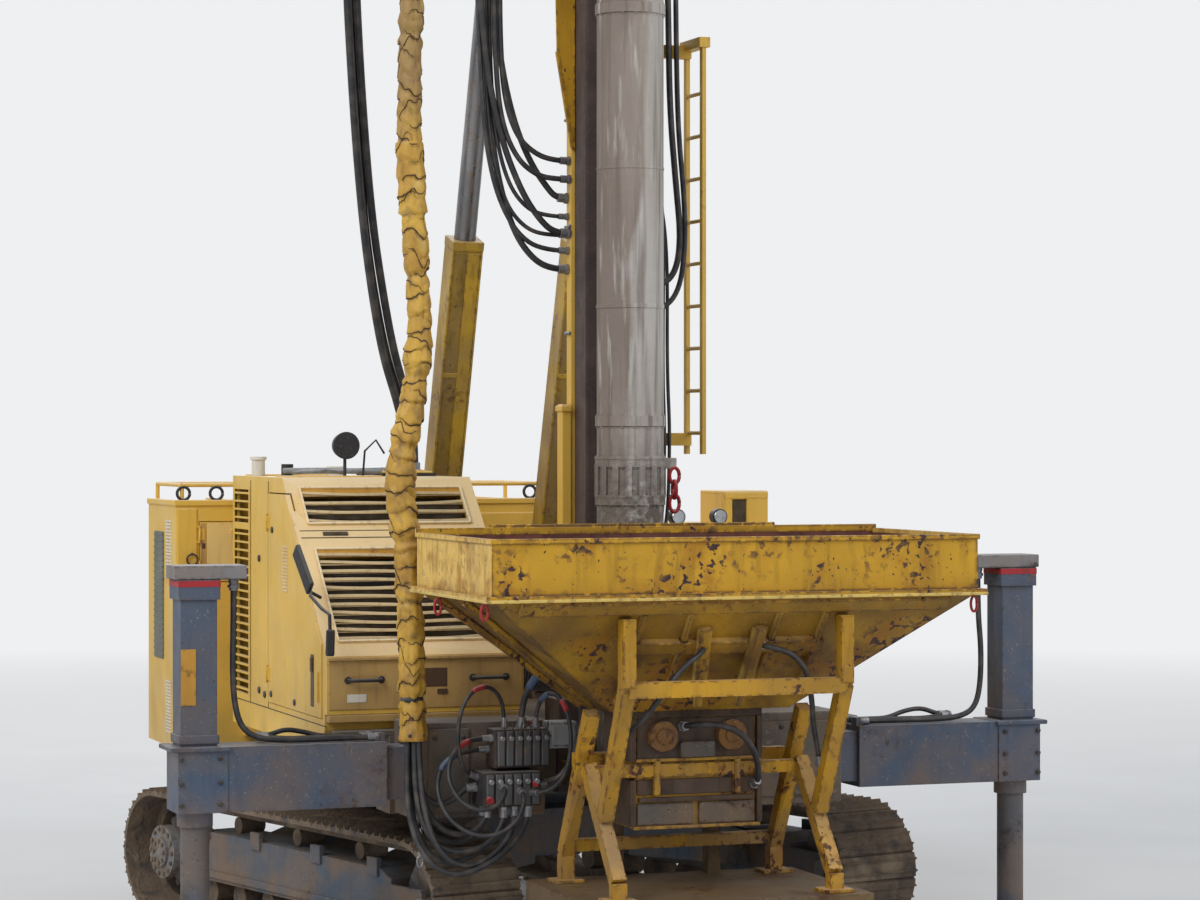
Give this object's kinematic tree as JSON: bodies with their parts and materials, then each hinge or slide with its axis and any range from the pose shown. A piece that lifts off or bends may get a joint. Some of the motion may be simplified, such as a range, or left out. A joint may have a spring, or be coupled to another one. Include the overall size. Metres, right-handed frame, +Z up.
{
  "type": "vibro replacement rig",
  "caption": "Tracked ground improvement rig with a tall leader, a vibrator string, a gravel skip, back stays, telescopic outriggers, engine hood and cab.",
  "frame": {"origin": "bottom centre of the whole machine, on the ground", "axes": "+X to the machine's right, +Y to its rear, +Z up; the leader and the skip are at the front, towards -Y"},
  "size_m": [6.4998, 7.5484, 16.12],
  "materials": {
    "track_steel": "muddy",
    "undercarriage_grey": "dusty",
    "chassis_grey": "dusty",
    "dark_steel": "satin",
    "bare_steel": "worn",
    "outrigger_blue": "dusty",
    "leader_rust": "rusty",
    "machine_yellow": "dusty",
    "rod_grey": "satin",
    "string_steel": "muddy",
    "skip_yellow": "scuffed",
    "louvre_cream": "dusty",
    "cab_glass": "clear",
    "seat_black": "matt",
    "hose_black": "matt",
    "sleeve_yellow": "wrinkled"
  },
  "bodies": {
    "undercarriage": {"track_left": "track_steel", "track_right": "track_steel", "track_frames": "undercarriage_grey", "track_wheels": "undercarriage_grey", "track_rollers": "track_steel", "car_body": "undercarriage_grey"},
    "upper": {"slew_ring": "dark_steel", "main_frame": "chassis_grey", "pivot_pins": "bare_steel", "side_decks": "chassis_grey", "outrigger_sleeves": "chassis_grey", "hood_shell": "machine_yellow", "hood_louvres": "louvre_cream", "engine_block": "dark_steel", "rear_cabinet": "machine_yellow", "counterweight": "chassis_grey", "exhaust": "dark_steel", "handrails": "machine_yellow", "roof_fittings": "dark_steel", "valve_block": "dark_steel", "cab_shell": "machine_yellow", "cab_glass": "cab_glass", "cab_seat": "seat_black", "foot_hose_1": "hose_black", "foot_hose_2": "hose_black", "foot_hose_3": "hose_black", "foot_hose_4": "hose_black", "roof_cable_1": "hose_black", "roof_cable_2": "hose_black"},
    "winch": {"winch_drum": "dark_steel"},
    "outrigger_left": {"outrigger_left": "outrigger_blue", "outrigger_hose_left": "hose_black"},
    "outrigger_right": {"outrigger_right": "outrigger_blue", "outrigger_hose_right": "hose_black"},
    "leg_left": {"leg_left": "bare_steel"},
    "leg_right": {"leg_right": "bare_steel"},
    "leader": {"leader_box": "leader_rust", "leader_head": "leader_rust", "stay_gusset": "machine_yellow", "hose_arm": "machine_yellow", "ladder": "bare_steel", "skip_deck": "leader_rust", "hose_sleeve": "sleeve_yellow", "mast_hose_1": "hose_black", "mast_hose_2": "hose_black", "mast_hose_3": "hose_black", "string_hose_1": "hose_black", "string_hose_2": "hose_black"},
    "stay_barrels": {"stay_barrels": "machine_yellow"},
    "stay_rods": {"stay_rods": "rod_grey"},
    "vibrator": {"vibrator_string": "string_steel", "feed_silo": "string_steel"},
    "skip": {"skip_shell": "skip_yellow", "skip_frame": "skip_yellow", "skip_carriage": "skip_yellow"},
    "hood_door": {"hood_door": "machine_yellow"},
    "cabinet_door": {"cabinet_door": "machine_yellow"},
    "cab_door": {"cab_door": "machine_yellow", "cab_door_glass": "cab_glass"}
  },
  "joints": [
    {"name": "slewing", "type": "hinge", "parent": "undercarriage", "child": "upper", "pos_m": [0, 0.9608, 1.1], "axis": [0, 0, 1], "continuous": true},
    {"name": "outrigger_left_slide", "type": "slide", "parent": "upper", "child": "outrigger_left", "axis": [-1, 0, 0], "range_m": [-0.14, 0.6]},
    {"name": "outrigger_right_slide", "type": "slide", "parent": "upper", "child": "outrigger_right", "axis": [1, 0, 0], "range_m": [-0.14, 0.6]},
    {"name": "leg_left_lift", "type": "slide", "parent": "outrigger_left", "child": "leg_left", "axis": [0, 0, 1], "range_m": [0, 0.75]},
    {"name": "leg_right_lift", "type": "slide", "parent": "outrigger_right", "child": "leg_right", "axis": [0, 0, 1], "range_m": [0, 0.75]},
    {"name": "leader_tilt", "type": "hinge", "parent": "upper", "child": "leader", "pos_m": [0, -1.2092, 1.55], "axis": [1, 0, 0], "range_deg": [-4, 3]},
    {"name": "stay_barrel_swing", "type": "hinge", "parent": "upper", "child": "stay_barrels", "pos_m": [0, 1.5908, 2.1], "axis": [1, 0, 0], "range_deg": [-4, 3]},
    {"name": "stay_rod_slide", "type": "slide", "parent": "stay_barrels", "child": "stay_rods", "axis": [0, -0.3, 0.9539], "range_m": [-0.21, 0.16]},
    {"name": "vibrator_slide", "type": "slide", "parent": "leader", "child": "vibrator", "axis": [0, 0, 1], "range_m": [-9, 1.5]},
    {"name": "skip_hoist", "type": "slide", "parent": "leader", "child": "skip", "axis": [0, 0, 1], "range_m": [0, 9.5]},
    {"name": "winch_turn", "type": "hinge", "parent": "upper", "child": "winch", "pos_m": [0, 0.0208, 2.06], "axis": [1, 0, 0], "continuous": true},
    {"name": "hood_door_swing", "type": "hinge", "parent": "upper", "child": "hood_door", "pos_m": [-2.042, 0.3878, 2.5], "axis": [0, 0, 1], "range_deg": [-100, 0]},
    {"name": "cabinet_door_swing", "type": "hinge", "parent": "upper", "child": "cabinet_door", "pos_m": [-2.167, 2.0168, 2.8], "axis": [0, 0, 1], "range_deg": [-100, 0]},
    {"name": "cab_door_swing", "type": "hinge", "parent": "upper", "child": "cab_door", "pos_m": [1.964, 0.4138, 2.2], "axis": [0, 0, 1], "range_deg": [-100, 0]}
  ],
  "couplings": [
    {"joint": "stay_barrel_swing", "follows": "leader_tilt", "ratio": 0.9606},
    {"joint": "stay_rod_slide", "follows": "leader_tilt", "m_per_rad": 2.84}
  ]
}
